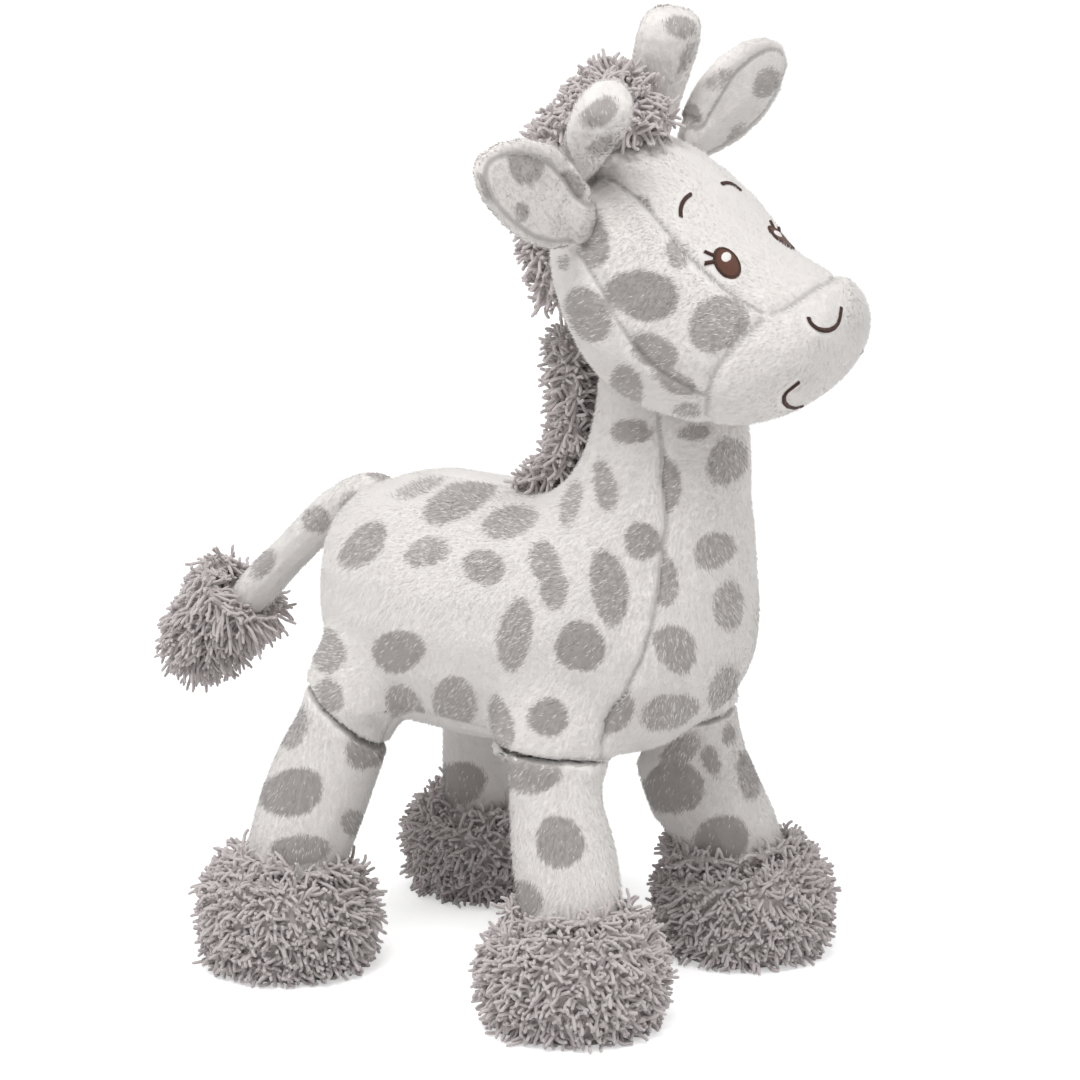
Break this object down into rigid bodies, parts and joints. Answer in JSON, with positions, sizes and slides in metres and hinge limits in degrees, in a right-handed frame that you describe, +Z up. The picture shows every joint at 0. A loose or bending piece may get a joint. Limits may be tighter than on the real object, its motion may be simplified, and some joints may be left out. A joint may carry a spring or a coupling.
{
  "type": "plush giraffe",
  "caption": "Standing plush giraffe with a grey-spotted pile body, chenille mane, tail tuft and boots, and soft sewn seams that let the head, ears, horns, legs and tail flex.",
  "frame": {"origin": "on the standing plane, under the middle of the toy's bounding box", "axes": "+Z up, the toy faces -Y, its right side is towards -X"},
  "size_m": [0.17, 0.2668, 0.3006],
  "materials": {
    "spotted_plush": "short pile, cream white with grey printed spots",
    "plain_plush": "short pile, cream white",
    "ear_lining": "short pile, off-white",
    "grey_chenille": "curly loop pile, mid grey",
    "boot_sole": "woven cloth, grey",
    "fibre_fill": "loose white fibre"
  },
  "bodies": {
    "root": {"right_side_panel": "spotted_plush", "left_side_panel": "spotted_plush", "chest_panel": "spotted_plush", "belly_panel": "spotted_plush", "body_stuffing": "fibre_fill", "neck_mane": "grey_chenille"},
    "neck": {"neck_stuffing": "fibre_fill"},
    "head": {"right_cheek_panel": "spotted_plush", "left_cheek_panel": "spotted_plush", "forehead_panel": "plain_plush", "muzzle_panel": "plain_plush", "head_stuffing": "fibre_fill", "crown_mane": "grey_chenille"},
    "right_ear": {"right_ear_outer": "spotted_plush", "right_ear_lining": "ear_lining"},
    "right_horn": {"right_horn_cover": "spotted_plush", "right_horn_stuffing": "fibre_fill"},
    "left_ear": {"left_ear_outer": "spotted_plush", "left_ear_lining": "ear_lining"},
    "left_horn": {"left_horn_cover": "spotted_plush", "left_horn_stuffing": "fibre_fill"},
    "front_right_leg": {"front_right_leg_cover": "spotted_plush", "front_right_leg_stuffing": "fibre_fill", "front_right_boot": "grey_chenille", "front_right_sole": "boot_sole"},
    "front_left_leg": {"front_left_leg_cover": "spotted_plush", "front_left_leg_stuffing": "fibre_fill", "front_left_boot": "grey_chenille", "front_left_sole": "boot_sole"},
    "rear_right_leg": {"rear_right_leg_cover": "spotted_plush", "rear_right_leg_stuffing": "fibre_fill", "rear_right_boot": "grey_chenille", "rear_right_sole": "boot_sole"},
    "rear_left_leg": {"rear_left_leg_cover": "spotted_plush", "rear_left_leg_stuffing": "fibre_fill", "rear_left_boot": "grey_chenille", "rear_left_sole": "boot_sole"},
    "tail": {"tail_cover": "spotted_plush", "tail_tuft": "grey_chenille"}
  },
  "joints": [
    {"name": "head_turn", "type": "hinge", "parent": "root", "child": "neck", "pos_m": [0.00276, -0.07087, 0.18002], "axis": [0, 0, 1], "range_deg": [-20, 20], "stiffness_Nm_per_rad": 0.5},
    {"name": "head_nod", "type": "hinge", "parent": "neck", "child": "head", "pos_m": [0.00276, -0.07087, 0.18002], "axis": [0.9818, 0.1293, 0.1392], "range_deg": [-10, 10], "stiffness_Nm_per_rad": 1.5},
    {"name": "front_right_leg_swing", "type": "hinge", "parent": "root", "child": "front_right_leg", "pos_m": [-0.03243, -0.05435, 0.07545], "axis": [1, 0, 0], "range_deg": [-12, 12], "stiffness_Nm_per_rad": 1.5},
    {"name": "front_left_leg_swing", "type": "hinge", "parent": "root", "child": "front_left_leg", "pos_m": [0.03795, -0.05435, 0.07545], "axis": [1, 0, 0], "range_deg": [-12, 12], "stiffness_Nm_per_rad": 1.5},
    {"name": "rear_right_leg_swing", "type": "hinge", "parent": "root", "child": "rear_right_leg", "pos_m": [-0.03141, 0.02265, 0.0791], "axis": [1, 0, 0], "range_deg": [-12, 12], "stiffness_Nm_per_rad": 1.5},
    {"name": "rear_left_leg_swing", "type": "hinge", "parent": "root", "child": "rear_left_leg", "pos_m": [0.03693, 0.02265, 0.0791], "axis": [1, 0, 0], "range_deg": [-12, 12], "stiffness_Nm_per_rad": 1.5},
    {"name": "right_ear_flap", "type": "hinge", "parent": "head", "child": "right_ear", "pos_m": [-0.04248, -0.07455, 0.24474], "axis": [-0.3903, 0.0566, -0.9189], "range_deg": [-12, 12], "stiffness_Nm_per_rad": 0.03},
    {"name": "left_ear_flap", "type": "hinge", "parent": "head", "child": "left_ear", "pos_m": [0.02526, -0.06563, 0.25967], "axis": [-0.4979, 0.013, 0.8672], "range_deg": [-12, 12], "stiffness_Nm_per_rad": 0.03},
    {"name": "right_horn_tilt", "type": "hinge", "parent": "head", "child": "right_horn", "pos_m": [-0.03246, -0.06279, 0.25568], "axis": [-0.9086, 0.05, -0.4147], "range_deg": [-5, 5], "stiffness_Nm_per_rad": 0.06},
    {"name": "left_horn_tilt", "type": "hinge", "parent": "head", "child": "left_horn", "pos_m": [0.01222, -0.05691, 0.26557], "axis": [0.9956, -0.0364, 0.0868], "range_deg": [-5, 5], "stiffness_Nm_per_rad": 0.06},
    {"name": "tail_swing", "type": "hinge", "parent": "root", "child": "tail", "pos_m": [0.00276, 0.04365, 0.14592], "axis": [1, 0, 0], "range_deg": [-3, 15], "stiffness_Nm_per_rad": 0.5}
  ]
}
